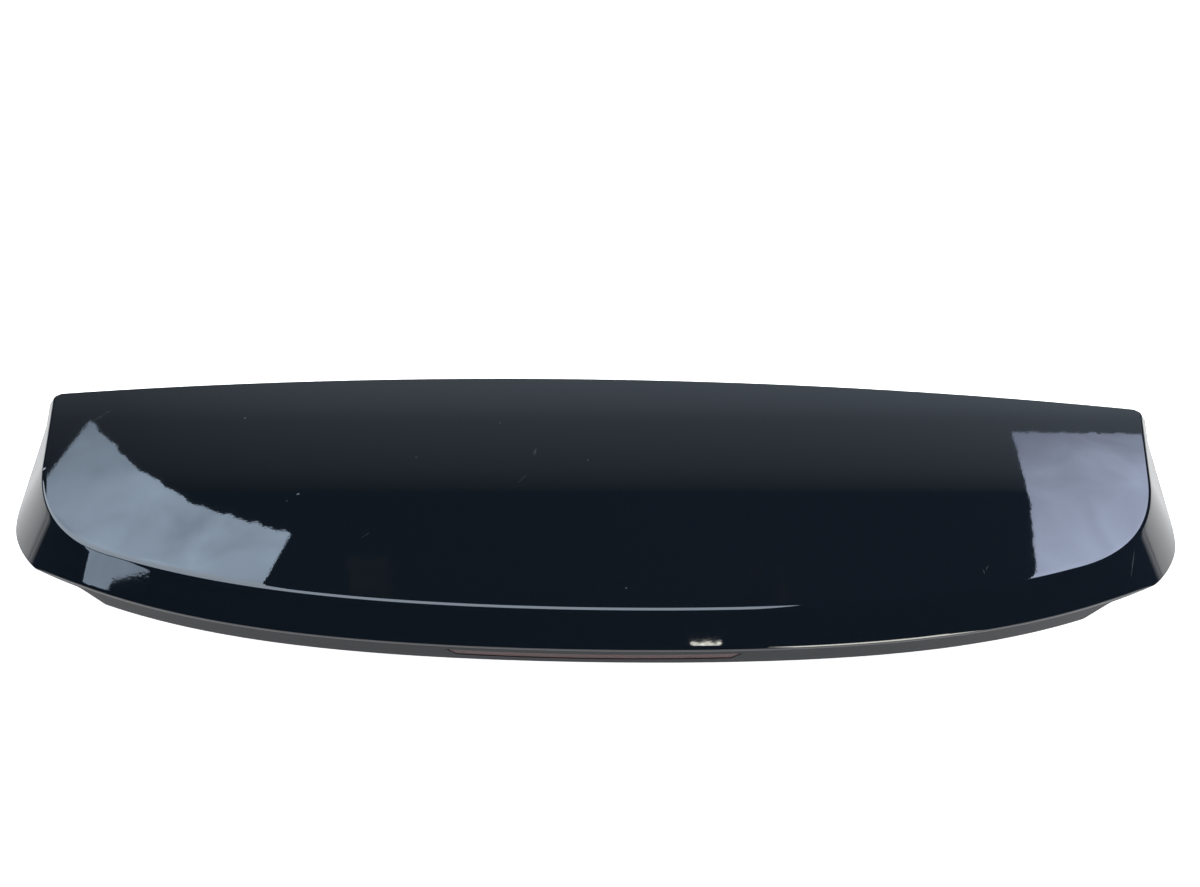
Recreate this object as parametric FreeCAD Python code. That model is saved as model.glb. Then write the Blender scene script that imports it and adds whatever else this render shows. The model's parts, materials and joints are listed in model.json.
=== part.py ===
import FreeCAD, Part
import math
import os
from FreeCAD import Vector

# Tailgate spoiler of an estate car, in millimetres.
# +X runs across the car, +Y towards its front and +Z up. The origin is in the middle of the stud line,
# on the plane where the spoiler seats on the tailgate.

# Painted outer skin
SKIN_WALL = 3.0
SKIN_HEIGHT = 80.0
PANEL_DEPTH = 280.0
FRONT_OVERHANG = 75.0
CROWN = 26.2
PANEL_ARCH = 2.0
LEAD_BOW = 6.5
LEAD_CORNER = 13.0
SIDE_HALF = 551.0
SIDE_TAPER = 0.1156
REAR_INSET = 36.0
REAR_SWEEP = 76.0
REAR_SWEEP_END = 27.5
CORNER_CUT = 89.0
BAND_SPLAY = 1.207
SIDE_SPLAY = 0.863
WALL_ABOVE = 40.0
WALL_BELOW = 140.0
CREASE_RADIUS = 4.5

# Undercut strip below the trailing edge, which carries the lamp, and the rim of the fins
EDGE_DROP = 21.7
EDGE_RUN = 30.5
STRIP_SWEEP = 45.4
STRIP_SWEEP_END = 33.1
STRIP_TILT = math.radians(10.0)
STRIP_HEIGHT = 35.7
RIM_DROP = 27.3
STRIP_INSET = 46.0
STRIP_END_SLANT = 22.0
FIN_TIP_BACK = 149.0
FIN_TIP_Z = 10.0
FIN_TIP_CUT = 20.0
FIN_RISE = math.radians(19.0)
FIN_BACK_RISE = math.radians(11.0)
FIN_BACK_RUN = 80.0
FIN_END_RUN = 25.0
FIN_END_RISE = 8.0
SIDE_LIP = 7.0

# Lower skin, bonded into the outer skin
LOWER_WALL = 2.5
LOWER_INSET = 73.0
FLOOR_TUCK = 1.0
FLOOR_LEVEL = 9.0
FRONT_WALL_BACK = 24.0
BEAD = 1.6
BEAD_WIDTH = 9.0
FIT_GAP = 0.3
RIB_WALL = 2.0
RIB_TOP_GAP = 12.0
RIB_PLACES = (-330.0, -240.0, 240.0, 330.0)

# Studs, clips and seals
STUD_PLACES = (-380.0, -150.0, 150.0, 380.0)
STUD_RADIUS = 3.0
STUD_LENGTH = 22.0
STUD_COLLAR = 4.5
STUD_HEAD_RADIUS = 9.0
STUD_HEAD = 3.0
PAD_RADIUS = 18.0
PAD_TOP = 15.0
GASKET = 3.0
GASKET_INNER = 7.0
GASKET_OUTER = 16.0
PRESS_GAP = 0.05
CLIP_INSET = 36.0
CLIP_BACK = 30.0
CLIP_RADIUS = 4.0
CLIP_BARB = 1.2
CLIP_LENGTH = 16.0
CLIP_HEAD_RADIUS = 8.0
CLIP_HEAD = 2.0
SEAL_DEPTH = 11.0
SEAL_HEIGHT = 12.0
SEAL_INSET = 8.0
GROMMET_X = 90.0
GROMMET_Z = 36.0
GROMMET_HOLE = 9.0
GROMMET_BORE = 5.0
GROMMET_LIP = 3.0

# High brake lamp
LENS_WIDTH = 276.0
LENS_HEIGHT = 12.0
LENS_SLANT = 9.0
LENS_CORNER = 2.5
LENS_BELOW_EDGE = 14.0
LENS_RECESS = 0.5
LENS_GAP = 0.4
LENS_WALL = 2.0
LAMP_RIM = 4.0
LAMP_SEAL = 1.5
LAMP_WALL = 2.0
LAMP_DEPTH = 16.0
BOARD = 1.6
LED_COUNT = 14
LED_SIZE = 3.5
LED_HEIGHT = 1.8
EAR_LENGTH = 22.0
EAR_WALL = 2.5
SCREW_RADIUS = 2.0
SCREW_HEAD_RADIUS = 4.0
SCREW_HEAD = 2.5
SCREW_LENGTH = 6.0
BOSS_RADIUS = 5.0
SOCKET_X = 60.0
SOCKET_WIDTH = 22.0
SOCKET_HEIGHT = 10.0
SOCKET_DEPTH = 14.0
SOCKET_WALL = 1.5
PIN_COUNT = 2
PIN_PITCH = 6.0
PIN_SIZE = 1.2

# Room left around the part for the shapes that cut it
MARGIN = 70.0
REACH = 900.0

# Places worked out from the sizes above
LEAD_Y = FRONT_OVERHANG
CREASE_Y = LEAD_Y - PANEL_DEPTH
EDGE_Z = SKIN_HEIGHT - EDGE_DROP
EDGE_Y = CREASE_Y - EDGE_RUN
FOOT_Z = EDGE_Z - STRIP_HEIGHT * math.cos(STRIP_TILT)
FIN_TIP_Y = LEAD_Y - FIN_TIP_BACK
FRONT_WALL_Y = LEAD_Y - FRONT_WALL_BACK
LOWER_HALF = SIDE_HALF - LOWER_INSET
SEAL_HALF = LOWER_HALF - SEAL_INSET
CLIP_PLACES = (CLIP_INSET - LOWER_HALF, LOWER_HALF - CLIP_INSET)
REAR_SPAN = SIDE_HALF - REAR_INSET
STRIP_END = SIDE_HALF - STRIP_INSET
ABOVE = SKIN_HEIGHT + WALL_ABOVE
BELOW = SKIN_HEIGHT - WALL_BELOW
LENS_Z = EDGE_Z - (LENS_BELOW_EDGE + LENS_HEIGHT / 2) * math.cos(STRIP_TILT)
LAMP_FRONT = SKIN_WALL + LAMP_SEAL
HOUSING_FRONT = LAMP_FRONT + LENS_WALL
BOARD_BACK = HOUSING_FRONT + LAMP_DEPTH
HOUSING_BACK = BOARD_BACK + LAMP_WALL


def panel_height(x, y):
    """Top of the skin: crowned across the car and slightly arched from front to rear."""
    along = (y - CREASE_Y) / PANEL_DEPTH
    return SKIN_HEIGHT - CROWN * (x / SIDE_HALF) ** 2 + 4 * PANEL_ARCH * along * (1 - along)


def foot_height(x):
    """Lower rim of the strip and the fins, falling towards the sides."""
    return FOOT_Z - RIM_DROP * (x / REAR_SPAN) ** 2


def floor_height(x, y):
    """Outside of the lower skin: level at the front, dropping to the rim of the strip behind."""
    back = (FRONT_WALL_Y - y) / (FRONT_WALL_Y - EDGE_Y)
    return FLOOR_LEVEL + (foot_height(x) + FLOOR_TUCK - FLOOR_LEVEL) * back * abs(back)


def field_face(height, lift=0.0):
    """A smooth face over the whole part at height(x, y) + lift."""
    columns = [-1.2 * SIDE_HALF + 2.4 * SIDE_HALF * i / 12 for i in range(13)]
    rows = [EDGE_Y - MARGIN + (LEAD_Y - EDGE_Y + 2 * MARGIN) * i / 10 for i in range(11)]
    surface = Part.BSplineSurface()
    surface.interpolate([[Vector(x, y, height(x, y) + lift) for y in rows] for x in columns])
    return surface.toShape()


def under(height, lift=0.0):
    """Everything below a height field."""
    return field_face(height, lift).extrude(Vector(0, 0, -2 * ABOVE - REACH))


def over(height, lift=0.0):
    """Everything above a height field."""
    return field_face(height, lift).extrude(Vector(0, 0, 2 * ABOVE + REACH))


def block(x0, x1, y0, y1, z0, z1):
    return Part.makeBox(x1 - x0, y1 - y0, z1 - z0, Vector(x0, y0, z0))


def swept_curve(span, sweep, sweep_end, shift, z):
    """A line across the car that bows towards the front at its ends, with the place and slope of its end."""
    rise = sweep * (span / REAR_SPAN) ** 2
    rise_end = sweep_end * (span / REAR_SPAN) ** 4
    end = shift + rise + rise_end
    mid_y = shift - rise / 3 + rise_end
    poles = [(-1, end), (-0.5, shift - rise_end), (0, mid_y), (0.5, shift - rise_end), (1, end)]
    curve = Part.BezierCurve()
    curve.setPoles([Vector(place * span, y, z) for place, y in poles])
    return curve.toShape(), end, (2 * rise + 4 * rise_end) / span


def wall_outline(z, inset):
    """Plan outline of the crease and fin wall at one level: side, corner, rear, corner and side."""
    drop = SKIN_HEIGHT - z
    side = SIDE_HALF + SIDE_SPLAY * drop - inset * math.hypot(1, SIDE_SPLAY)
    shift = CREASE_Y - BAND_SPLAY * drop + inset * math.hypot(1, BAND_SPLAY)
    tangent = side - SIDE_TAPER * PANEL_DEPTH / 2 - CORNER_CUT
    rear, rear_y, slope = swept_curve(tangent, REAR_SWEEP, REAR_SWEEP_END, shift, z)
    front = LEAD_Y + FRONT_OVERHANG
    turn_x = (side + SIDE_TAPER * (rear_y - slope * tangent - LEAD_Y)) / (1 - SIDE_TAPER * slope)
    turn_y = rear_y + slope * (turn_x - tangent)
    front_x = side + SIDE_TAPER * (front - LEAD_Y)

    def corner(sign):
        end = Vector(sign * (turn_x + SIDE_TAPER * CORNER_CUT), turn_y + CORNER_CUT, z)
        curve = Part.BezierCurve()
        curve.setPoles([Vector(sign * tangent, rear_y, z), Vector(sign * turn_x, turn_y, z), end])
        return [curve.toShape(), Part.makeLine(end, Vector(sign * front_x, front, z))]

    closing = Part.makeLine(Vector(-front_x, front, z), Vector(front_x, front, z))
    return Part.Wire(Part.__sortEdges__(corner(-1) + [rear] + corner(1) + [closing]))


def wall_block(inset=0.0):
    """Everything inside the band and fin walls."""
    return Part.makeLoft([wall_outline(BELOW, inset), wall_outline(ABOVE, inset)], True, True)


def strip_outline(z, inset):
    """Plan outline in front of the undercut strip at one level."""
    shift = EDGE_Y + (EDGE_Z - z) * math.tan(STRIP_TILT) + inset / math.cos(STRIP_TILT)
    span = 1.3 * SIDE_HALF
    rear, end_y, _ = swept_curve(span, STRIP_SWEEP, STRIP_SWEEP_END, shift, z)
    front = LEAD_Y + 2 * FRONT_OVERHANG
    places = [(span, end_y), (span, front), (-span, front), (-span, end_y)]
    corners = [Vector(x, y, z) for x, y in places]
    sides = [Part.makeLine(a, b) for a, b in zip(corners, corners[1:])]
    return Part.Wire(Part.__sortEdges__([rear] + sides))


def strip_block(inset=0.0):
    """Everything in front of the undercut strip."""
    return Part.makeLoft([strip_outline(BELOW, inset), strip_outline(ABOVE, inset)], True, True)


def strip_layer(near, far):
    """A layer of the strip between two depths behind its face."""
    return strip_block(near).cut(strip_block(far))


def front_block():
    """Everything behind the bowed leading edge."""
    side = 1.3 * SIDE_HALF
    bow = LEAD_BOW * (side / SIDE_HALF) ** 2
    ends = [Vector(-side, LEAD_Y - bow, BELOW), Vector(side, LEAD_Y - bow, BELOW)]
    edge = Part.Arc(ends[0], Vector(0, LEAD_Y, BELOW), ends[1]).toShape()
    back = [Vector(side, -REACH, BELOW), Vector(-side, -REACH, BELOW)]
    corners = [ends[1], back[0], back[1], ends[0]]
    sides = [Part.makeLine(a, b) for a, b in zip(corners, corners[1:])]
    wire = Part.Wire(Part.__sortEdges__([edge] + sides))
    return Part.Face(wire).extrude(Vector(0, 0, ABOVE - BELOW))


def below_rim():
    """Everything under the lower rim of the strip and fins."""
    side = 1.3 * SIDE_HALF
    low = Vector(-side, -REACH, foot_height(side))
    high = Vector(side, -REACH, foot_height(side))
    rim = Part.Arc(low, Vector(0, -REACH, foot_height(0)), high).toShape()
    corners = [high, Vector(side, -REACH, BELOW - REACH), Vector(-side, -REACH, BELOW - REACH), low]
    sides = [Part.makeLine(a, b) for a, b in zip(corners, corners[1:])]
    wire = Part.Wire(Part.__sortEdges__([rim] + sides))
    return Part.Face(wire).extrude(Vector(0, 2 * REACH, 0))


def fin_profile():
    """The space under the fins from the side: a slanting front edge, a rounded tip and a rising rear edge."""
    tip = Vector(0, FIN_TIP_Y, FIN_TIP_Z)
    ahead = Vector(0, math.cos(FIN_RISE), math.sin(FIN_RISE))
    behind = Vector(0, -math.cos(FIN_BACK_RISE), math.sin(FIN_BACK_RISE))
    front = tip + ahead * FIN_TIP_CUT
    back = tip + behind * FIN_TIP_CUT
    turn = tip + behind * FIN_BACK_RUN
    end = turn + Vector(0, -FIN_END_RUN, FIN_END_RISE)
    high = tip + ahead * REACH
    far = Vector(0, -REACH, end.z)
    nose = Part.BezierCurve()
    nose.setPoles([front, tip, back])
    rear = Part.BezierCurve()
    rear.setPoles([back, turn, end])
    corners = [end, far, Vector(0, far.y, -REACH), Vector(0, high.y, -REACH), high, front]
    sides = [Part.makeLine(p, q) for p, q in zip(corners, corners[1:])]
    return Part.Face(Part.Wire(Part.__sortEdges__([nose.toShape(), rear.toShape()] + sides)))


def beyond_strip():
    """The spaces outside the slanting ends of the strip, on both sides."""
    corner_z = EDGE_Z - RIM_DROP * (STRIP_END / REAR_SPAN) ** 2
    low = corner_z - STRIP_HEIGHT
    inner = STRIP_END - STRIP_END_SLANT
    points = [(STRIP_END, REACH), (STRIP_END, corner_z), (inner, low), (inner, -REACH)]
    points += [(REACH, -REACH), (REACH, REACH)]
    spaces = []
    for sign in (-1, 1):
        outline = [Vector(sign * x, -REACH, z) for x, z in points]
        spaces.append(Part.Face(Part.makePolygon(outline + outline[:1])).extrude(Vector(0, 2 * REACH, 0)))
    return spaces[0].fuse(spaces[1])


def below_fins():
    """Everything under the edges of the fins, short of the side lips of the panel."""
    profile = fin_profile()
    profile.translate(Vector(-REACH, 0, 0))
    space = profile.extrude(Vector(2 * REACH, 0, 0)).common(beyond_strip())
    return space.common(under(panel_height, -SIDE_LIP))


def lead_corner(sign):
    """The space outside one rounded corner of the leading edge."""
    x = SIDE_HALF + SIDE_SPLAY * (CROWN + SIDE_LIP)
    y = LEAD_Y - LEAD_BOW * (x / SIDE_HALF) ** 2
    front = Vector(sign * (x - LEAD_CORNER), y, BELOW)
    side = Vector(sign * (x - SIDE_TAPER * LEAD_CORNER), y - LEAD_CORNER, BELOW)
    curve = Part.BezierCurve()
    curve.setPoles([front, Vector(sign * x, y, BELOW), side])
    places = [(sign * REACH, side.y), (sign * REACH, REACH), (front.x, REACH)]
    far = [Vector(x, y, BELOW) for x, y in places]
    corners = [side] + far + [front]
    sides = [Part.makeLine(a, b) for a, b in zip(corners, corners[1:])]
    outline = Part.Wire(Part.__sortEdges__([curve.toShape()] + sides))
    return Part.Face(outline).extrude(Vector(0, 0, ABOVE - BELOW))


def middle(edge):
    return edge.valueAt((edge.FirstParameter + edge.LastParameter) / 2)


def strip_place(x, z):
    """The y of the strip face."""
    across = x / REAR_SPAN
    sweep = STRIP_SWEEP * across**2 + STRIP_SWEEP_END * across**4
    return EDGE_Y + (EDGE_Z - z) * math.tan(STRIP_TILT) + sweep


def on_crease(point):
    return abs(point.z - panel_height(point.x, point.y)) < 0.3 and abs(point.y - LEAD_Y) > 1


def envelope():
    """The outer form of the skin, with its rounded crease and leading corners."""
    solid = under(panel_height).common(wall_block()).common(strip_block()).common(front_block()).Solids[0]
    solid = solid.makeFillet(CREASE_RADIUS, [edge for edge in solid.Edges if on_crease(middle(edge))])
    return solid.cut(lead_corner(-1)).cut(lead_corner(1))


def inside(depth):
    """The space inside the skin at one depth behind its outer faces, open at the front."""
    return under(panel_height, -depth).common(wall_block(depth))


def strip_rod(x, radius, near, far):
    """A round bar square to the strip, between two depths behind its face at the height of the lamp."""
    slope = 2 * STRIP_SWEEP * x / REAR_SPAN**2 + 4 * STRIP_SWEEP_END * x**3 / REAR_SPAN**4
    axis = Vector(-slope, 1, math.tan(STRIP_TILT))
    step = 1 / (math.cos(STRIP_TILT) * axis.Length)
    axis.normalize()
    face = Vector(x, strip_place(x, LENS_Z), LENS_Z)
    return Part.makeCylinder(radius, (far - near) * step, face + axis * near * step, axis)


def lens_prism(grow=0.0):
    """A bar with the outline of the lamp lens: a long trapezium, shorter along its lower edge."""
    high = LENS_HEIGHT / 2 + grow
    long = LENS_WIDTH / 2 + grow
    short = long - LENS_SLANT
    corners = [(-long, LENS_Z + high), (long, LENS_Z + high), (short, LENS_Z - high), (-short, LENS_Z - high)]
    points = [Vector(x, EDGE_Y - 20, z) for x, z in corners]
    bar = Part.Face(Part.makePolygon(points + points[:1])).extrude(Vector(0, 100, 0))
    ends = [edge for edge in bar.Edges if abs(edge.Length - 100) < 1e-6]
    return bar.makeFillet(LENS_CORNER, ends)


def outer_skin():
    shell = envelope().cut(inside(SKIN_WALL).common(strip_block(SKIN_WALL)))
    shell = shell.cut(below_rim()).cut(below_fins())
    for sign in (-1, 1):
        shell = shell.fuse(strip_rod(sign * EAR_X, BOSS_RADIUS, SKIN_WALL - 1, HOUSING_FRONT))
        shell = shell.cut(strip_rod(sign * EAR_X, SCREW_HOLE, SCREW_DEEP, BOARD_BACK))
    return shell.cut(lens_prism().common(block(-REACH, REACH, -REACH, CREASE_Y, BELOW, ABOVE)))


def tub_space(half, front):
    return block(-half, half, -REACH, front, BELOW, ABOVE)


def lower_skin():
    outer = inside(SKIN_WALL + BEAD).common(strip_block(SKIN_WALL + FIT_GAP))
    outer = outer.common(tub_space(LOWER_HALF, FRONT_WALL_Y)).cut(under(floor_height))
    hollow = tub_space(LOWER_HALF - LOWER_WALL, FRONT_WALL_Y - LOWER_WALL)
    hollow = over(floor_height, LOWER_WALL).common(hollow)
    flange = outer.cut(inside(SKIN_WALL + BEAD + LOWER_WALL))
    flange = flange.cut(tub_space(LOWER_HALF - BEAD_WIDTH, FRONT_WALL_Y - BEAD_WIDTH))
    tub = outer.cut(hollow).fuse(flange)
    for x in RIB_PLACES:
        rib = block(x - RIB_WALL / 2, x + RIB_WALL / 2, CREASE_Y / 2, FRONT_WALL_Y - 1, BELOW, ABOVE)
        rib = rib.common(under(panel_height, -SKIN_WALL - RIB_TOP_GAP)).cut(under(floor_height, 1))
        tub = tub.fuse(rib)
    for x in STUD_PLACES:
        tub = tub.fuse(Part.makeCylinder(PAD_RADIUS, PAD_TOP - GASKET, Vector(x, 0, GASKET)))
        tub = tub.cut(Part.makeCylinder(STUD_COLLAR + PRESS_GAP, PAD_TOP, Vector(x, 0, 0)))
    for x in CLIP_PLACES:
        tub = tub.fuse(Part.makeCylinder(PAD_RADIUS, PAD_TOP - GASKET, Vector(x, -CLIP_BACK, GASKET)))
        tub = tub.cut(Part.makeCylinder(CLIP_RADIUS + PRESS_GAP, PAD_TOP, Vector(x, -CLIP_BACK, 0)))
    hole_start = Vector(GROMMET_X, FRONT_WALL_Y - 10, GROMMET_Z)
    hole = Part.makeCylinder(GROMMET_HOLE, 20, hole_start, Vector(0, 1, 0))
    return tub.cut(hole).removeSplitter()


def bond_bead():
    """The adhesive between the flanges of the lower skin and the inside of the outer skin."""
    bead = inside(SKIN_WALL + FIT_GAP).common(strip_block(SKIN_WALL + FIT_GAP))
    bead = bead.common(tub_space(LOWER_HALF, FRONT_WALL_Y))
    bead = bead.cut(inside(SKIN_WALL + BEAD))
    bead = bead.cut(tub_space(LOWER_HALF - BEAD_WIDTH, FRONT_WALL_Y - BEAD_WIDTH))
    return bead.cut(under(floor_height))


def lamp_lens():
    window = strip_layer(LENS_RECESS, LAMP_FRONT).common(lens_prism(-LENS_GAP))
    rim = strip_layer(LAMP_FRONT, HOUSING_FRONT).common(lens_prism(LAMP_RIM))
    return window.fuse(rim).removeSplitter()


def lamp_gasket():
    return strip_layer(SKIN_WALL, LAMP_FRONT).common(lens_prism(LAMP_RIM).cut(lens_prism(1)))


def lamp_housing():
    body = strip_layer(HOUSING_FRONT, HOUSING_BACK).common(lens_prism(LAMP_RIM))
    ear_end = EAR_X + EAR_LENGTH / 3
    ears = block(-ear_end, ear_end, EDGE_Y, CREASE_Y + 20, LENS_Z - 6, LENS_Z + 6)
    body = body.fuse(strip_layer(HOUSING_FRONT, HOUSING_FRONT + EAR_WALL).common(ears))
    body = body.cut(strip_layer(HOUSING_FRONT, BOARD_BACK).common(lens_prism(LAMP_RIM - LAMP_WALL)))
    for sign in (-1, 1):
        body = body.cut(strip_rod(sign * EAR_X, SCREW_HOLE, 0, BOARD_BACK))
    for x in pin_places():
        body = body.cut(pin(x, PRESS_GAP))
    return body.removeSplitter()


def lamp_board():
    return strip_layer(BOARD_BACK - BOARD, BOARD_BACK).common(lens_prism(LAMP_RIM - LAMP_WALL - FIT_GAP))


def led_places():
    pitch = (LENS_WIDTH - 3 * LENS_SLANT) / (LED_COUNT - 1)
    return [(i - (LED_COUNT - 1) / 2) * pitch for i in range(LED_COUNT)]


def lamp_leds():
    near = BOARD_BACK - BOARD - LED_HEIGHT
    return Part.makeCompound([strip_rod(x, LED_SIZE / 2, near, BOARD_BACK - BOARD) for x in led_places()])


def lamp_screws():
    screws = []
    for sign in (-1, 1):
        head = HOUSING_FRONT + EAR_WALL + PRESS_GAP
        shank = strip_rod(sign * EAR_X, SCREW_RADIUS, head - SCREW_LENGTH, head + 0.5)
        screws.append(shank.fuse(strip_rod(sign * EAR_X, SCREW_HEAD_RADIUS, head, head + SCREW_HEAD)))
    return Part.makeCompound(screws)


def socket_box(grow, y0, y1):
    wide = SOCKET_WIDTH / 2 + grow
    high = SOCKET_HEIGHT / 2 + grow
    return block(SOCKET_X - wide, SOCKET_X + wide, y0, y1, SOCKET_Z - high, SOCKET_Z + high)


def lamp_socket():
    """The plug socket on the back of the lamp housing."""
    face = strip_block(HOUSING_BACK)
    shell = socket_box(0, EDGE_Y, SOCKET_Y + SOCKET_DEPTH).common(face)
    mouth = socket_box(-SOCKET_WALL, EDGE_Y, SOCKET_Y + SOCKET_DEPTH + 1)
    shell = shell.cut(mouth.common(strip_block(HOUSING_BACK + 2)))
    for x in pin_places():
        shell = shell.cut(pin(x, PRESS_GAP))
    return shell


def pin_places():
    return [SOCKET_X + (i - (PIN_COUNT - 1) / 2) * PIN_PITCH for i in range(PIN_COUNT)]


def pin(x, grow=0.0):
    half = PIN_SIZE / 2 + grow
    bar = block(x - half, x + half, EDGE_Y, SOCKET_Y + SOCKET_DEPTH - 3, SOCKET_Z - half, SOCKET_Z + half)
    return bar.common(strip_block(BOARD_BACK))


def lamp_pins():
    return Part.makeCompound([pin(x) for x in pin_places()])


def mounting_studs():
    studs = []
    for x in STUD_PLACES:
        shank = Part.makeCylinder(STUD_RADIUS, STUD_LENGTH, Vector(x, 0, -STUD_LENGTH))
        shank = shank.makeChamfer(0.8, [shank.Edges[2]])
        collar = Part.makeCylinder(STUD_COLLAR, PAD_TOP, Vector(x, 0, 0))
        head = Part.makeCylinder(STUD_HEAD_RADIUS, STUD_HEAD, Vector(x, 0, PAD_TOP))
        studs.append(shank.fuse(collar).fuse(head))
    return Part.makeCompound(studs)


def stud_gaskets():
    rings = []
    for x in STUD_PLACES:
        ring = Part.makeCylinder(GASKET_OUTER, GASKET, Vector(x, 0, 0))
        rings.append(ring.cut(Part.makeCylinder(GASKET_INNER, GASKET, Vector(x, 0, 0))))
    return Part.makeCompound(rings)


def edge_clips():
    """Push-in clips near the ends of the seat."""
    clips = []
    for x in CLIP_PLACES:
        tip = Vector(x, -CLIP_BACK, -CLIP_LENGTH)
        barb = Part.makeCone(CLIP_RADIUS / 2, CLIP_RADIUS + CLIP_BARB, CLIP_LENGTH / 2, tip)
        shank = Part.makeCylinder(CLIP_RADIUS, CLIP_LENGTH + PAD_TOP, tip + Vector(0, 0, 1))
        head = Part.makeCylinder(CLIP_HEAD_RADIUS, CLIP_HEAD, Vector(x, -CLIP_BACK, PAD_TOP))
        clips.append(barb.fuse(shank).fuse(head))
    return Part.makeCompound(clips)


def front_seal():
    """The foam strip under the leading edge, against the front wall of the lower skin."""
    strip = block(-SEAL_HALF, SEAL_HALF, FRONT_WALL_Y, FRONT_WALL_Y + SEAL_DEPTH, BELOW, ABOVE)
    return strip.common(under(panel_height, -SKIN_WALL)).common(over(panel_height, -SKIN_WALL - SEAL_HEIGHT))


def lead_grommet():
    """The rubber bush in the front wall where the lamp lead would leave."""
    back = FRONT_WALL_Y - LOWER_WALL - GROMMET_LIP
    front = FRONT_WALL_Y + GROMMET_LIP
    rise = GROMMET_HOLE + GROMMET_LIP
    lip = back + GROMMET_LIP
    profile = [(GROMMET_BORE, back), (rise, back), (rise, lip), (GROMMET_HOLE, lip)]
    profile += [(GROMMET_HOLE, FRONT_WALL_Y), (rise, FRONT_WALL_Y), (rise, front), (GROMMET_BORE, front)]
    points = [Vector(GROMMET_X + r, y, GROMMET_Z) for r, y in profile]
    face = Part.Face(Part.makePolygon(points + points[:1]))
    return face.revolve(Vector(GROMMET_X, 0, GROMMET_Z), Vector(0, 1, 0), 360)


EAR_X = LENS_WIDTH / 2 + LAMP_RIM + EAR_LENGTH / 2
SCREW_HOLE = SCREW_RADIUS + PRESS_GAP
SCREW_DEEP = HOUSING_FRONT + EAR_WALL - SCREW_LENGTH - 0.5
SOCKET_Z = LENS_Z
SOCKET_Y = strip_place(SOCKET_X, SOCKET_Z) + HOUSING_BACK / math.cos(STRIP_TILT)

NODES = {
    "outer_skin": outer_skin,
    "lower_skin": lower_skin,
    "bond_bead": bond_bead,
    "lamp_lens": lamp_lens,
    "lamp_gasket": lamp_gasket,
    "lamp_housing": lamp_housing,
    "lamp_board": lamp_board,
    "lamp_leds": lamp_leds,
    "lamp_screws": lamp_screws,
    "lamp_socket": lamp_socket,
    "lamp_pins": lamp_pins,
    "mounting_studs": mounting_studs,
    "stud_gaskets": stud_gaskets,
    "edge_clips": edge_clips,
    "front_seal": front_seal,
    "lead_grommet": lead_grommet,
}

os.makedirs("parts", exist_ok=True)
for node, make in NODES.items():
    shape = make()
    print(node, shape.isValid(), len(shape.Solids), round(shape.Volume))
    shape.exportStep("parts/" + node + ".step")
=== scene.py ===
import bmesh
import bpy
import json
import math
import numpy as np
from mathutils import Matrix, Vector
from mathutils.bvhtree import BVHTree


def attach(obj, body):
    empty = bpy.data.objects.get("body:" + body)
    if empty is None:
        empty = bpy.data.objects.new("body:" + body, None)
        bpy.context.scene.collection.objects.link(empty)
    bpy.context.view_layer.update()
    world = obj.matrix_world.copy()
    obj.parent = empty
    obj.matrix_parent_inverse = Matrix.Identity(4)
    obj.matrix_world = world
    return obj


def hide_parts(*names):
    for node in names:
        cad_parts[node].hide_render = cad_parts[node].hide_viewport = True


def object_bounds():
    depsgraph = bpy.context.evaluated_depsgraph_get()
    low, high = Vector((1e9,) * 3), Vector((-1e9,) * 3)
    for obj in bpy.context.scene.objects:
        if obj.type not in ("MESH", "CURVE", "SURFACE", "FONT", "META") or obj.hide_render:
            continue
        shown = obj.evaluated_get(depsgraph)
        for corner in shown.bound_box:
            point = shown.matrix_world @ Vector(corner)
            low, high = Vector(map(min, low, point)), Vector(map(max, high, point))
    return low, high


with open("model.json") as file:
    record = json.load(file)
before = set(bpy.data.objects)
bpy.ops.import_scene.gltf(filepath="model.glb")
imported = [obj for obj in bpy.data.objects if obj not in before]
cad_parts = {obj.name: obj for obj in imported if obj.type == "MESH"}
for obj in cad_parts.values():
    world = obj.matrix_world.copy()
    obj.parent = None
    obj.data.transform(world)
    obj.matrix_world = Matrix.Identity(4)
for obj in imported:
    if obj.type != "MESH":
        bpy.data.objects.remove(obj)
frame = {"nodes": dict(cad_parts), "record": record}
cad_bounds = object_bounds()
nodes = frame["nodes"]
scene = bpy.context.scene

# Sizes of the skin in metres, the same as in the CAD part
SKIN_WALL = 0.003
SKIN_HEIGHT = 0.080
PANEL_DEPTH = 0.280
LEAD_Y = 0.075
CREASE_Y = LEAD_Y - PANEL_DEPTH
CROWN = 0.0262
PANEL_ARCH = 0.002
LEAD_BOW = 0.0065
SIDE_HALF = 0.551
SIDE_TAPER = 0.1156
REAR_INSET = 0.036
REAR_SPAN = SIDE_HALF - REAR_INSET
REAR_SWEEP = 0.076
REAR_SWEEP_END = 0.0275
CORNER_CUT = 0.089
BAND_SPLAY = 1.207
SIDE_SPLAY = 0.863
WALL_ABOVE = 0.040
WALL_BELOW = 0.140
ABOVE = SKIN_HEIGHT + WALL_ABOVE
BELOW = SKIN_HEIGHT - WALL_BELOW
EDGE_DROP = 0.0217
EDGE_RUN = 0.0305
EDGE_Z = SKIN_HEIGHT - EDGE_DROP
EDGE_Y = CREASE_Y - EDGE_RUN
STRIP_SWEEP = 0.0454
STRIP_SWEEP_END = 0.0331
STRIP_TILT = math.radians(10)
STRIP_HEIGHT = 0.0357
STRIP_INSET = 0.046
STRIP_END = SIDE_HALF - STRIP_INSET
STRIP_END_SLANT = 0.022
FOOT_Z = EDGE_Z - STRIP_HEIGHT * math.cos(STRIP_TILT)
RIM_DROP = 0.0273
FIN_TIP_BACK = 0.149
FIN_TIP_Z = 0.010
FIN_TIP = np.array([LEAD_Y - FIN_TIP_BACK, FIN_TIP_Z])
FIN_TIP_CUT = 0.020
FIN_RISE = math.radians(19)
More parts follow.
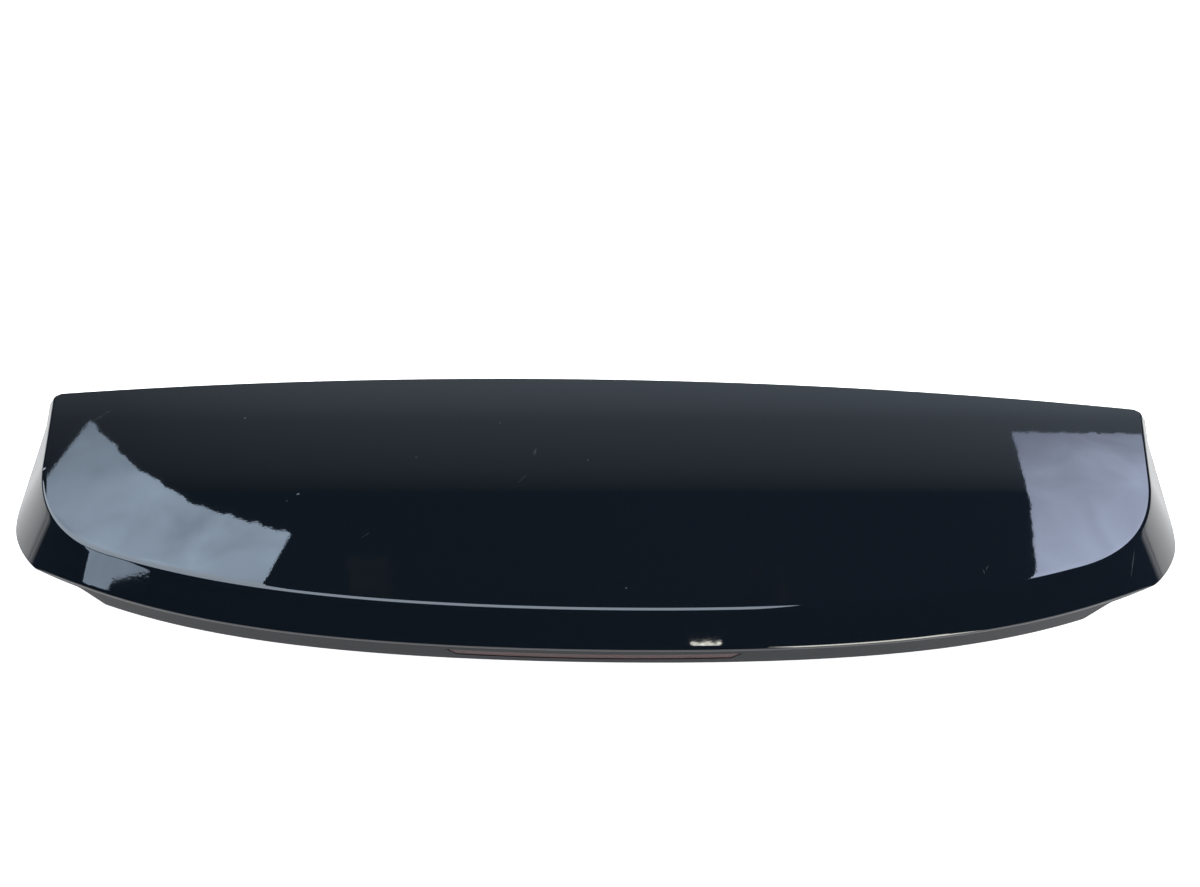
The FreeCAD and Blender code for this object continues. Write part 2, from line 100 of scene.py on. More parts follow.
FIN_BACK_RISE = math.radians(11)
FIN_BACK_RUN = 0.080
FIN_END_RUN = 0.025
FIN_END_RISE = 0.008
SIDE_LIP = 0.007
LENS_WIDTH = 0.276
LENS_HEIGHT = 0.012
LENS_SLANT = 0.009
LENS_BELOW_EDGE = 0.014
LENS_Z = EDGE_Z - (LENS_BELOW_EDGE + LENS_HEIGHT / 2) * math.cos(STRIP_TILT)

# Roundings of the skin in metres, which are the scene's own, and the bar that cuts the lamp slot
LEAD_CORNER = 0.007
CREASE_RADIUS = 0.006
EDGE_RADIUS = 0.004
EDGE_SETBACK = EDGE_RADIUS * 0.577
ROUND_SHARE = 0.3
SLOT_BEHIND = 0.02
SLOT_LENGTH = 0.07

# Fineness of the skin's grid and of the searches along it, and the angles from which edges are sharp
REAR_COLUMNS, CORNER_COLUMNS, SIDE_COLUMNS, PROBE_COLUMNS = 110, 44, 44, 800
PANEL_ROWS, CREASE_STEPS, BAND_ROWS, EDGE_STEPS, STRIP_ROWS = 46, 8, 14, 6, 10
FIN_POINTS = 12
START_ABOVE = 0.01
RULE_STEP = 0.01
WALL_SEARCH, WALL_SEARCH_STEPS = 0.14, 1400
STRIP_SEARCH, STRIP_SEARCH_STEPS = 0.06, 600
BOUNCE_STEPS = 12
MERGE_DISTANCE = 2e-6
SKIN_SHARP, PIECE_SHARP = math.radians(35), math.radians(30)

# Camera, and the frame of pixels in which reflections and marks are placed
PHOTO_WIDTH, PHOTO_HEIGHT = 1200, 887
LENS_MM, SENSOR_MM = 39, 36
FOCAL = LENS_MM / SENSOR_MM * PHOTO_WIDTH
SHIFT_RIGHT, SHIFT_UP = 4.16, 83.4
ELEVATION, ROLL, DISTANCE = math.radians(55), math.radians(0.843), 1.248
TARGET = Vector((0, -0.113, 0.080))

# Wear on the paint: pixel, length and width in millimetres, turn in degrees and strength
WEAR = [
    ((44, 469), 2.2, 0.9, 60, 0.9),
    ((245, 418), 1.6, 1.0, 20, 0.14),
    ((298, 494), 1.6, 1.2, 40, 0.3),
    ((287, 501), 1.0, 0.7, 0, 0.12),
    ((500, 423), 1.0, 0.8, 0, 0.08),
    ((416, 457), 1.2, 0.6, 30, 0.1),
    ((588, 460), 1.0, 0.8, 0, 0.08),
    ((626, 588), 1.2, 0.8, 10, 0.12),
    ((100, 417), 8.0, 1.6, 35, 0.03),
    ((108, 412), 6.0, 1.2, 30, 0.03),
    ((535, 452), 5.0, 1.4, 80, 0.05),
    ((522, 479), 7.0, 0.4, 50, 0.05),
    ((366, 535), 6.0, 0.4, 40, 0.05),
    ((987, 568), 3.5, 0.4, 60, 0.08),
    ((984, 572), 2.4, 0.4, 100, 0.07),
    ((1133, 562), 14.0, 0.5, 80, 0.12),
]

# How far the mask of a mark reaches up and down, in metres
MARK_DEPTH = 0.01

# Colours and noise scales of the paint and the lens, and the scale of the grain on plain materials
PAINT_DARK, PAINT_LIGHT = (0.0024, 0.0040, 0.0068), (0.0044, 0.0072, 0.0115)
PAINT_WORN = (0.42, 0.44, 0.46)
LENS_DARK, LENS_LIGHT = (0.024, 0.002, 0.002), (0.04, 0.004, 0.004)
FLAKE_SCALE, WEAR_SCALE, HAZE_SCALE, RIPPLE_SCALE = 2600, 900, 5, 420
LENS_SCALE, FLUTE_SCALE, GRAIN_SCALE = 60, 60, 2500

# Values of the plain materials by slot
PLAIN_LOOKS = {
    "black_plastic": dict(
        dark=(0.016, 0.016, 0.016), light=(0.026, 0.025, 0.024), rough=0.5, scale=120, grain=0.35),
    "adhesive": dict(
        dark=(0.012, 0.012, 0.012), light=(0.02, 0.02, 0.02), rough=0.6),
    "seal_rubber": dict(
        dark=(0.015, 0.015, 0.015), light=(0.024, 0.024, 0.024), rough=0.65, scale=200, grain=0.1),
    "lamp_plastic": dict(
        dark=(0.03, 0.03, 0.032), light=(0.045, 0.045, 0.046), rough=0.45, scale=150, grain=0.15),
    "board": dict(
        dark=(0.015, 0.09, 0.035), light=(0.025, 0.13, 0.05), rough=0.4, scale=300),
    "led": dict(
        dark=(0.6, 0.56, 0.42), light=(0.75, 0.7, 0.55), rough=0.25, scale=300, coat=0.5),
    "zinc_steel": dict(
        dark=(0.5, 0.5, 0.48), light=(0.66, 0.66, 0.64), rough=0.32, scale=400, grain=0.05, metallic=1.0),
    "pin_metal": dict(
        dark=(0.6, 0.45, 0.2), light=(0.7, 0.55, 0.28), rough=0.3, scale=400, metallic=1.0),
    "seal_foam": dict(
        dark=(0.02, 0.02, 0.02), light=(0.045, 0.045, 0.045), rough=0.9, scale=900, grain=0.6),
    "clip_nylon": dict(
        dark=(0.6, 0.59, 0.54), light=(0.72, 0.71, 0.66), rough=0.4, scale=200, grain=0.05),
}

# Reflections in the paint as outlines of pixels; a light is two pairs of a pixel and a strength
LEFT_PATCH = [
    (90, 421), (135, 466), (195, 505), (291, 534), (264, 582),
    (250, 640), (100, 680), (-150, 640), (40, 486),
]
LEFT_LIGHT = (((95, 435), 4.2), ((150, 540), 7.6))
RIGHT_PATCH = [
    (1037, 577), (1030, 500), (1012, 432), (1142, 434),
    (1200, 440), (1200, 560), (1130, 620), (1040, 620),
]
RIGHT_LIGHT = (((1020, 440), 4.4), ((1150, 560), 10.5))
GHOSTS = [
    [(347, 558), (392, 556), (391, 620), (350, 620)],
    [(746, 560), (764, 560), (764, 620), (746, 620)],
    [(775, 566), (790, 566), (790, 620), (775, 620)],
]
GHOST_NEAR, GHOST_FAR = 0.14, 0.1
BAND_PATCH = [(82, 548), (90, 585), (113, 580), (150, 572), (125, 562)]
BAND_STRENGTH = 5.5
GLINT = [(690, 642), (722, 642), (720, 647), (692, 647)]
GLINT_STRENGTH = 16.0
NORMAL_SPREAD = (-8, -4, 0, 4, 8)

# The pale far band: rows of pixels with their strengths, columns, and how it brightens to the right
FAR_ROWS = [(491, 0.14), (470, 0.36), (445, 0.52), (420, 0.66), (405, 0.95), (385, 1.2), (330, 1.3)]
FAR_COLUMNS = range(-120, 1321, 60)
FAR_LEAN, FAR_CURVE, FAR_LIMIT = 0.25, 0.55, 0.8

# The cards above and behind the part, and the distances of all cards, in metres
TOP_CARD = [
    (-6.0, -1.4), (0.75, -1.4), (0.75, 0.55), (-1.15, 0.55), (-1.25, 1.1),
    (-1.58, 1.2), (-1.9, 1.3), (-2.24, 1.5), (-2.5, 1.75), (-6.0, 3.0),
]
TOP_STRENGTH = 7.0
REAR_CARD = [(1.7, 0.5), (4.3, 0.5), (4.3, 3.4), (1.7, 3.4)]
REAR_STRENGTH = 15.0
REAR_CARD_Y = -5.0
CARD_HEIGHT = 2.4
FAR_HEIGHT = CARD_HEIGHT + 0.1
TOP_HEIGHT = CARD_HEIGHT - 0.05
SKIN_CARD_AWAY = 3.0

# Tints of the cards
LEFT_TINT, RIGHT_TINT = (0.64, 0.8, 1.0), (0.66, 0.75, 1.0)
FAR_TINT, GHOST_TINT, TOP_TINT = (0.76, 0.88, 1.0), (0.8, 0.9, 1.0), (0.74, 0.86, 1.0)
REAR_TINT, GLINT_TINT = (1.0, 0.97, 0.9), (1.0, 0.98, 0.88)

# Soft lights, floor and world
FILL_PLACES = ((-1.6, -1.2), (1.6, -1.2), (0, 1.4))
FILL_HEIGHT, FILL_SIZE, FILL_ENERGY = 3.0, 2.0, 110
FLOOR_HALF, FLOOR_GAP, FLOOR_GLOW = 60, 0.0005, 0.9
FLOOR_DARK, FLOOR_LIGHT = (0.86, 0.86, 0.86), (0.88, 0.88, 0.88)
WORLD_LEVELS = ((0.0, (1.6, 1.64, 1.7)), (0.05, (0.05, 0.075, 0.11)))


def panel(x, y):
    """Height of the top panel."""
    along = (y - CREASE_Y) / PANEL_DEPTH
    return SKIN_HEIGHT - CROWN * (x / SIDE_HALF) ** 2 + 4 * PANEL_ARCH * along * (1 - along)


def panel_slope(x, y):
    """Slope of the top panel across the car and along it."""
    along = (y - CREASE_Y) / PANEL_DEPTH
    return -2 * CROWN * x / SIDE_HALF**2, 4 * PANEL_ARCH * (1 - 2 * along) / PANEL_DEPTH


def lead_edge(x):
    """Place of the leading edge along the car."""
    return LEAD_Y - LEAD_BOW * (x / SIDE_HALF) ** 2


def foot(x):
    """Height of the foot of the strip."""
    return FOOT_Z - RIM_DROP * (x / REAR_SPAN) ** 2


def strip_y(x, z):
    """Place of the undercut strip along the car."""
    across = x / REAR_SPAN
    sweep = STRIP_SWEEP * across**2 + STRIP_SWEEP_END * across**4
    return EDGE_Y + (EDGE_Z - z) * math.tan(STRIP_TILT) + sweep


def bezier(start, corner, end, count):
    """Points on a curve from start to end that is drawn towards a corner."""
    t = np.linspace(0, 1, count)[:, None]
    return (1 - t) ** 2 * start + 2 * t * (1 - t) * corner + t * t * end


def fin_edge():
    """The lower edge of a fin seen from the side, as (y, z) points from the rear to the front."""
    ahead = np.array([math.cos(FIN_RISE), math.sin(FIN_RISE)])
    behind = np.array([-math.cos(FIN_BACK_RISE), math.sin(FIN_BACK_RISE)])
    front, back = FIN_TIP + ahead * FIN_TIP_CUT, FIN_TIP + behind * FIN_TIP_CUT
    turn = FIN_TIP + behind * FIN_BACK_RUN
    end = turn + [-FIN_END_RUN, FIN_END_RISE]
    nose = bezier(front, FIN_TIP, back, FIN_POINTS)
    rear = bezier(back, turn, end, FIN_POINTS)
    return np.concatenate([[FIN_TIP + ahead], nose, rear, [end - [1, 0]]])[::-1]


FIN_EDGE = fin_edge()


def rim(x, y, z):
    """Height of the lower edge of the skin: the foot of the strip, or the edge of a fin beyond its ends."""
    corner = EDGE_Z - RIM_DROP * (STRIP_END / REAR_SPAN) ** 2
    strip_end = np.interp(z, [corner - STRIP_HEIGHT, corner], [STRIP_END - STRIP_END_SLANT, STRIP_END])
    fin = np.minimum(np.interp(y, FIN_EDGE[:, 0], FIN_EDGE[:, 1]), panel(x, y) - SIDE_LIP)
    return np.where(x > strip_end, fin, foot(x))


def half_outline(z, rear_n, corner_n, flank):
    """Right half of the wall outline at one level, from the middle of the rear to the front."""
    drop = SKIN_HEIGHT - z
    side = SIDE_HALF + SIDE_SPLAY * drop
    shift = CREASE_Y - BAND_SPLAY * drop
    tangent = side - SIDE_TAPER * PANEL_DEPTH / 2 - CORNER_CUT
    x = np.linspace(0, tangent, rear_n)
    y = shift + REAR_SWEEP * (x / REAR_SPAN) ** 2 + REAR_SWEEP_END * (x / REAR_SPAN) ** 4
    slope = 2 * REAR_SWEEP * tangent / REAR_SPAN**2 + 4 * REAR_SWEEP_END * tangent**3 / REAR_SPAN**4
    turn_x = (side + SIDE_TAPER * (y[-1] - slope * tangent - LEAD_Y)) / (1 - SIDE_TAPER * slope)
    turn_y = y[-1] + slope * (turn_x - tangent)
    end = np.array([turn_x + SIDE_TAPER * CORNER_CUT, turn_y + CORNER_CUT])
    corner = bezier(np.array([tangent, y[-1]]), np.array([turn_x, turn_y]), end, corner_n)[1:]
    front_y = 2 * LEAD_Y
    front = np.array([side + SIDE_TAPER * (front_y - LEAD_Y), front_y])
    sides = end + (front - end) * flank[:, None]
    return np.concatenate([np.stack([x, y], 1), corner, sides])


class Wall:
    """The ruled wall below the crease, sampled at fixed places along its outline."""

    def __init__(self, rear_n, corner_n, flank):
        self.low = half_outline(BELOW, rear_n, corner_n, flank).T
        self.high = half_outline(ABOVE, rear_n, corner_n, flank).T

    def at(self, z):
        share = (z - BELOW) / (ABOVE - BELOW)
        return tuple(low + (high - low) * share for low, high in zip(self.low, self.high))


def descend(top, place, clear, depth=WALL_SEARCH, steps=WALL_SEARCH_STEPS):
    """Goes down from the heights in top, through place(z), to where clear(x, y, z) turns negative."""
    z = top - np.linspace(0, depth, steps)[:, None]
    gap = clear(*place(z), z)
    gap[-1] = np.minimum(gap[-1], -1e-9)
    first = np.maximum(np.argmax(gap < 0, axis=0), 1)
    column = np.arange(z.shape[1])
    before, after = gap[first - 1, column], gap[first, column]
    share = np.clip(before / np.where(before == after, 1, before - after), 0, 1)
    return z[first - 1, column] + (z[first, column] - z[first - 1, column]) * share


def over_panel(x, y, z):
    return z - panel(x, y)


def over_rim(x, y, z):
    return z - rim(x, y, z)


def ahead_of_strip(x, y, z):
    return y - strip_y(x, z)


def points(wall, z):
    """Points of the wall at the given heights."""
    return np.stack([*wall.at(z), z], 1)


def unit(v):
    """Rows of vectors scaled to length one."""
    return v / np.maximum(np.linalg.norm(v, axis=1, keepdims=True), 1e-12)


def blend(p, corner, q, steps):
    """Rows of points round a corner, on an arc-like curve from p to q."""
    cosine = np.sum(unit(p - corner) * unit(q - corner), 1)
    weight = np.sqrt((1 - np.clip(cosine, -1, 1)) / 2)[:, None]
    rows = []
    for t in np.linspace(0, 1, steps + 1)[1:-1]:
        a, b, c = (1 - t) ** 2, 2 * t * (1 - t) * weight, t * t
        rows.append((a * p + b * corner + c * q) / (a + b + c))
    return rows


def crest(wall):
    """The sharp crease line, where the wall meets the panel."""
    top = np.full(wall.low.shape[1], SKIN_HEIGHT + START_ABOVE)
    return points(wall, descend(top, wall.at, over_panel))


def fitted_wall():
    """The wall, ending where its crease meets the leading edge."""
    flank = np.linspace(0, 1, PROBE_COLUMNS)[1:]
    probe = crest(Wall(2, 2, flank))[-len(flank):]
    last = np.interp(0, probe[:, 1] - lead_edge(probe[:, 0]), flank)
    return Wall(REAR_COLUMNS, CORNER_COLUMNS, np.linspace(0, last, SIDE_COLUMNS)[1:])


def crease_ends(wall, crease):
    """The lines where the rounding of the crease starts on the panel and ends on the wall."""
    tangent = np.gradient(crease, axis=0)
    tangent[0] = [1, 0, 0]
    tangent = unit(tangent)
    rule = unit(points(wall, crease[:, 2] - RULE_STEP) - crease)
    dx, dy = panel_slope(crease[:, 0], crease[:, 1])
    normal = unit(np.stack([-dx, -dy, np.ones_like(dx)], 1))
    inward = unit(np.cross(normal, tangent))
    down = unit(rule - np.sum(rule * tangent, 1, keepdims=True) * tangent)
    angle = np.arccos(np.clip(np.sum(inward * down, 1), -1, 1))
    reach = (CREASE_RADIUS / np.tan(angle / 2))[:, None]
    upper = crease + inward * reach
    upper[:, 2] = panel(upper[:, 0], upper[:, 1])
    return upper, crease + rule * reach


def panel_rows(upper):
    """Rows of the panel, from the leading edge to the rounding of the crease."""
    arc = np.concatenate([[0], np.cumsum(np.linalg.norm(np.diff(upper, axis=0), axis=1))])
    lead_x = arc / arc[-1] * upper[-1, 0]
    lead = np.stack([lead_x, lead_edge(lead_x), np.zeros_like(lead_x)], 1)
    rows = []
    for share in np.linspace(0, 1, PANEL_ROWS):
        row = lead + (upper - lead) * share
        row[:, 2] = panel(row[:, 0], row[:, 1])
        rows.append(row)
    return rows


def round_corner(row):
    """Rounds the leading corner at the end of a row, keeping each point's depth below the panel."""
    x, y, z = row.T
    depth = z - panel(x, y)
    start_x, start_y = x[-1] - LEAD_CORNER, y[-1] - LEAD_CORNER
    u = np.clip((x - start_x) / LEAD_CORNER, 0, 1)
    v = np.clip((y - start_y) / LEAD_CORNER, 0, 1)
    x = x - LEAD_CORNER * u * (1 - np.sqrt(1 - v * v / 2))
    y = y - LEAD_CORNER * v * (1 - np.sqrt(1 - u * u / 2))
    return np.stack([x, y, panel(x, y) + depth], 1)


def skin_rows():
    """The outer face of the right half as a grid: panel, crease, band and strip, from front to foot."""
    wall = fitted_wall()
    crease = crest(wall)
    upper, lower = crease_ends(wall, crease)
    rows = panel_rows(upper) + blend(upper, crease, lower, CREASE_STEPS)

    z_rim = descend(crease[:, 2], wall.at, over_rim)
    z_trail = descend(crease[:, 2], wall.at, ahead_of_strip)
    has_strip = z_trail > z_rim
    edge = points(wall, np.maximum(z_trail, z_rim))
    setback = np.where(has_strip, EDGE_SETBACK, 0.0)[:, None]
    band = lower - edge
    band_length = np.linalg.norm(band, axis=1, keepdims=True)
    edge_upper = edge + unit(band) * np.minimum(setback, ROUND_SHARE * band_length)
    for share in np.linspace(0, 1, BAND_ROWS):
        rows.append(lower + (edge_upper - lower) * share)

    x = edge[:, 0]

    def on_strip(z):
        return x + 0 * z, strip_y(x, z)

    z_end = descend(edge[:, 2], on_strip, over_rim, STRIP_SEARCH, STRIP_SEARCH_STEPS)
    z_end = np.where(has_strip, z_end, edge[:, 2])
    down = unit(np.array([[0, math.tan(STRIP_TILT), -1]]))
    strip_depth = (edge[:, 2] - z_end)[:, None]
    edge_lower = edge + down * np.minimum(setback, ROUND_SHARE * strip_depth)
    rows += blend(edge_upper, edge, edge_lower, EDGE_STEPS)
    for share in np.linspace(0, 1, STRIP_ROWS):
        z = edge_lower[:, 2] + (z_end - edge_lower[:, 2]) * share
        y = np.where(has_strip, strip_y(x, z), edge[:, 1])
        rows.append(np.stack([x, y, z], 1))
    return [round_corner(row) for row in rows]


def make_object(name, verts, faces):
    """A mesh object in the scene."""
    mesh = bpy.data.meshes.new(name)
    mesh.from_pydata([tuple(v) for v in verts], [], faces)
    mesh.validate()
    mesh.update()
    obj = bpy.data.objects.new(name, mesh)
    scene.collection.objects.link(obj)
    return obj


def grid_faces(rows, columns):
    """Faces between the points of a grid that is listed row by row."""
    faces = []
    for j in range(rows - 1):
        for i in range(columns - 1):
            a = j * columns + i
            faces.append((a, a + columns, a + columns + 1, a + 1))
    return faces


def build_skin():
    """The painted skin: the outer face, mirrored to both halves and thickened inwards."""
    full = [np.concatenate([(row * [-1, 1, 1])[:0:-1], row]) for row in skin_rows()]
    skin = make_object("skin", np.concatenate(full), grid_faces(len(full), len(full[0])))
    mesh = bmesh.new()
    mesh.from_mesh(skin.data)
    bmesh.ops.remove_doubles(mesh, verts=mesh.verts, dist=MERGE_DISTANCE)
    bmesh.ops.recalc_face_normals(mesh, faces=mesh.faces)
    if max(mesh.faces, key=lambda face: face.calc_center_median().z).normal.z < 0:
        bmesh.ops.reverse_faces(mesh, faces=mesh.faces)
    mesh.to_mesh(skin.data)
    mesh.free()
    wall = skin.modifiers.new("wall", "SOLIDIFY")
    wall.thickness = SKIN_WALL
    wall.offset = -1
    return skin


def prism(outline, shift):
    """Points and faces of a bar: an outline of points, and the same outline moved by shift."""
    n = len(outline)
    verts = [Vector(p) for p in outline] + [Vector(p) + Vector(shift) for p in outline]
    sides = [(i, (i + 1) % n, n + (i + 1) % n, n + i) for i in range(n)]
    return verts, [tuple(range(n - 1, -1, -1)), tuple(range(n, 2 * n))] + sides


def lens_slot():
    """The bar that cuts the lamp slot through the strip."""
    high, wide = LENS_HEIGHT / 2, LENS_WIDTH / 2
    corners = [(-wide, high), (wide, high), (wide - LENS_SLANT, -high), (LENS_SLANT - wide, -high)]
    return prism([(x, EDGE_Y - SLOT_BEHIND, LENS_Z + z) for x, z in corners], (0, SLOT_LENGTH, 0))


def bake(obj):
    """Replaces the mesh by its modified form."""
    graph = bpy.context.evaluated_depsgraph_get()
    mesh = bpy.data.meshes.new_from_object(obj.evaluated_get(graph))
    obj.modifiers.clear()
    obj.data = mesh


def cut(obj, verts, faces):
    """Takes a closed shape away from an object."""
    cutter = make_object("cutter", verts, faces)
    mesh = bmesh.new()
    mesh.from_mesh(cutter.data)
    bmesh.ops.recalc_face_normals(mesh, faces=mesh.faces)
    mesh.to_mesh(cutter.data)
    mesh.free()
    step = obj.modifiers.new("cut", "BOOLEAN")
    step.operation = "DIFFERENCE"
    step.object = cutter
    step.solver = "EXACT"
    bake(obj)
    bpy.data.objects.remove(cutter)


skin = build_skin()
bake(skin)
cut(skin, *lens_slot())
skin.data.shade_smooth()
skin.data.set_sharp_from_angle(angle=SKIN_SHARP)
skin_tree = BVHTree.FromObject(skin, bpy.context.evaluated_depsgraph_get())

ahead = Vector((0, math.cos(ELEVATION), -math.sin(ELEVATION)))
right = Vector((1, 0, 0))
up = Vector((0, math.sin(ELEVATION), math.cos(ELEVATION)))
image_right = right * math.cos(ROLL) + up * math.sin(ROLL)
image_up = up * math.cos(ROLL) - right * math.sin(ROLL)
eye = TARGET - ahead * DISTANCE
camera = bpy.data.objects.new("camera", bpy.data.cameras.new("camera"))
scene.collection.objects.link(camera)
scene.camera = camera
camera.data.sensor_width = SENSOR_MM
camera.data.lens = LENS_MM
camera.data.shift_x = SHIFT_RIGHT / PHOTO_WIDTH
camera.data.shift_y = SHIFT_UP / PHOTO_WIDTH
basis = Matrix((image_right, image_up, -ahead)).transposed().to_4x4()
basis.translation = eye
camera.matrix_world = basis


def pixel_ray(px, py):
    """Direction in which the camera sees a pixel."""
    across = px - PHOTO_WIDTH / 2 + SHIFT_RIGHT
    down = py - PHOTO_HEIGHT / 2 - SHIFT_UP
    return (ahead * FOCAL + image_right * across - image_up * down).normalized()


def panel_bounce(px, py, height=CARD_HEIGHT):
    """Where the ray of a pixel, mirrored by the panel or its continuation, reaches a height."""
    ray = pixel_ray(px, py)
    spot = eye + ray * (SKIN_HEIGHT - eye.z) / ray.z
    for _ in range(BOUNCE_STEPS):
        spot = spot + ray * (panel(spot.x, spot.y) - spot.z) / ray.z
    dx, dy = panel_slope(spot.x, spot.y)
    ray = ray.reflect(Vector((-dx, -dy, 1)).normalized())
    return spot + ray * (height - spot.z) / ray.z


def skin_hit(px, py):
    """The point and normal of the skin seen at a pixel."""
    spot, normal, _, _ = skin_tree.ray_cast(eye, pixel_ray(px, py))
    return spot, normal


class Shader:
    """A node material with a principled surface."""

    def __init__(self, name):
        self.material = bpy.data.materials.new(name)
        self.material.use_nodes = True
        self.tree = self.material.node_tree
        self.surface = self.tree.nodes["Principled BSDF"]
        coordinates = self.tree.nodes.new("ShaderNodeTexCoord")
        self.place = coordinates.outputs["Object"]
        self.facing = coordinates.outputs["Normal"]

    def feed(self, socket, value):
        """Links an output to a socket, or sets a constant on it."""
        if hasattr(value, "is_output"):
            self.tree.links.new(value, socket)
        elif isinstance(value, tuple) and len(value) == 3 and len(socket.default_value) == 4:
            socket.default_value = (*value, 1)
        else:
            socket.default_value = value

    def put(self, **values):
        """Feeds inputs of the surface, named with underscores for spaces."""
        for key, value in values.items():
            self.feed(self.surface.inputs[key.replace("_", " ")], value)

    def node(self, kind, inputs, **settings):
        made = self.tree.nodes.new(kind)
        for key, value in settings.items():
            setattr(made, key, value)
        for key, value in inputs.items():
            self.feed(made.inputs[key], value)
        return made

    def noise(self, scale, detail, distortion=0.0):
        inputs = {"Vector": self.place, "Scale": scale, "Detail": detail, "Distortion": distortion}
        return self.node("ShaderNodeTexNoise", inputs).outputs["Fac"]

    def span(self, value, start, end, low, high):
        """Maps the range from start to end onto the range from low to high."""
        inputs = {"Value": value, "From Min": start, "From Max": end, "To Min": low, "To Max": high}
        return self.node("ShaderNodeMapRange", inputs).outputs["Result"]

    def calculate(self, operation, a, b):
        return self.node("ShaderNodeMath", {0: a, 1: b}, operation=operation).outputs[0]

    def mix(self, factor, a, b):
        return self.node("ShaderNodeMix", {0: factor, 6: a, 7: b}, data_type="RGBA").outputs[2]

    def axis(self, vector, name):
        return self.node("ShaderNodeSeparateXYZ", {0: vector}).outputs[name]

    def bump(self, height, strength, distance, into="Normal"):
        inputs = {"Strength": strength, "Distance": distance, "Height": height}
        self.feed(self.surface.inputs[into], self.node("ShaderNodeBump", inputs).outputs["Normal"])

    def mark(self, centre, length, width, turn, rough):
        """A small ragged ellipse on the surface, 1 inside and 0 outside."""
        size = (length, width, MARK_DEPTH)
        inputs = {"Vector": self.place, "Location": centre, "Rotation": (0, 0, turn), "Scale": size}
        local = self.node("ShaderNodeMapping", inputs, vector_type="TEXTURE").outputs[0]
        away = self.node("ShaderNodeVectorMath", {0: local}, operation="LENGTH").outputs["Value"]
        away = self.calculate("ADD", away, self.span(rough, 0.3, 0.7, -0.5, 0.5))
        return self.span(away, 1.0, 0.6, 0.0, 1.0)


def paint():
    """Black paint with flake, haze and wear under a clear coat, which is dull on faces turned down."""
    look = Shader("black_paint")
    flake = look.mix(look.span(look.noise(FLAKE_SCALE, 1), 0.35, 0.75, 0, 1), PAINT_DARK, PAINT_LIGHT)
    rough = look.noise(WEAR_SCALE, 2)
    worn = 0.0
    for pixel, length, width, turn, strength in WEAR:
        spot, _ = skin_hit(*pixel)
        mark = look.mark(tuple(spot), length / 1000, width / 1000, math.radians(turn), rough)
        worn = look.calculate("MAXIMUM", worn, look.calculate("MULTIPLY", mark, strength))
    under = look.span(look.axis(look.facing, "Z"), -0.02, -0.08, 0, 1)
    haze = look.span(look.noise(HAZE_SCALE, 4), 0.35, 0.8, 0.012, 0.03)
    dull = look.calculate("MULTIPLY", look.calculate("MAXIMUM", under, worn), 0.15)
    look.put(Base_Color=look.mix(worn, flake, PAINT_WORN), Roughness=0.4, Specular_IOR_Level=0.0)
    look.put(Coat_Weight=look.span(under, 0, 1, 1.0, 0.2), Coat_IOR=1.5)
    look.put(Coat_Roughness=look.calculate("ADD", haze, dull))
    look.bump(look.noise(RIPPLE_SCALE, 1), 0.02, 0.0002, "Coat Normal")
    return look.material


def plain(name, dark, light, rough, scale=90, grain=0.0, metallic=0.0, coat=0.0):
    """A material between two close colours, with uneven roughness and, if asked for, a fine grain."""
    look = Shader(name)
    colour = look.mix(look.span(look.noise(scale, 4), 0.3, 0.7, 0, 1), dark, light)
    wear = look.span(look.noise(scale / 3, 3), 0.3, 0.7, rough * 0.85, min(rough * 1.15, 1))
    look.put(Base_Color=colour, Roughness=wear, Metallic=metallic, Coat_Weight=coat)
    if grain:
        look.bump(look.noise(GRAIN_SCALE, 2), grain, 0.0003)
    return look.material


def lens_material():
    """Dark red lens with upright flutes."""
    look = Shader("red_lens")
    colour = look.mix(look.span(look.noise(LENS_SCALE, 3), 0.3, 0.7, 0, 1), LENS_DARK, LENS_LIGHT)
    look.put(Base_Color=colour, Roughness=0.35, Specular_IOR_Level=0.05)
    look.put(Coat_Weight=0.05, Coat_Roughness=0.12)
    inputs = {"Vector": look.place, "Scale": FLUTE_SCALE}
    wave = look.node("ShaderNodeTexWave", inputs, wave_type="BANDS", bands_direction="X")
    look.bump(wave.outputs["Fac"], 0.25, 0.0006)
    return look.material


looks = {name: plain(name, **values) for name, values in PLAIN_LOOKS.items()}
looks["red_lens"] = lens_material()

skin.data.materials.clear()
skin.data.materials.append(paint())
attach(skin, "root")
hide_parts("outer_skin")

slots = {part["node"]: part["material_slot"] for part in frame["record"]["subparts"]}
for name, obj in nodes.items():
    if name == "outer_skin":
        continue
    obj.data.materials.clear()
    obj.data.materials.append(looks[slots[name]])
    obj.data.shade_smooth()
    obj.data.set_sharp_from_angle(angle=PIECE_SHARP)


def glow(name, tint, light=None, uneven=0.0, grain=2.2):
    """A light whose strength runs between two (place, strength) pairs, or follows the mesh's power."""
    look = Shader(name)
    if light:
        (start, near), (end, far) = light
        way = end - start
        inputs = {0: look.place, 1: tuple(way / way.length)}
        along = look.node("ShaderNodeVectorMath", inputs, operation="DOT_PRODUCT").outputs["Value"]
        first = start.dot(way) / way.length
        power = look.span(along, first, first + way.length, near, far)
    else:
        power = look.node("ShaderNodeAttribute", {}, attribute_name="power").outputs["Fac"]
    patchy = look.noise(grain, 4.0, 1.2)
    power = look.calculate("MULTIPLY", power, look.span(patchy, 0.3, 0.7, 1 - uneven, 1 + uneven))
    look.put(Base_Color=(0, 0, 0), Specular_IOR_Level=0.0, Emission_Color=tint, Emission_Strength=power)
    return look.material


def card(name, verts, faces, material):
    """A light that only shows in gloss."""
    made = make_object(name, verts, faces)
    made.data.materials.append(material)
    made.visible_camera = False
    made.visible_diffuse = False
    return made


def flat_card(name, outline, material):
    """A card with one face."""
    card(name, outline, [tuple(range(len(outline)))], material)


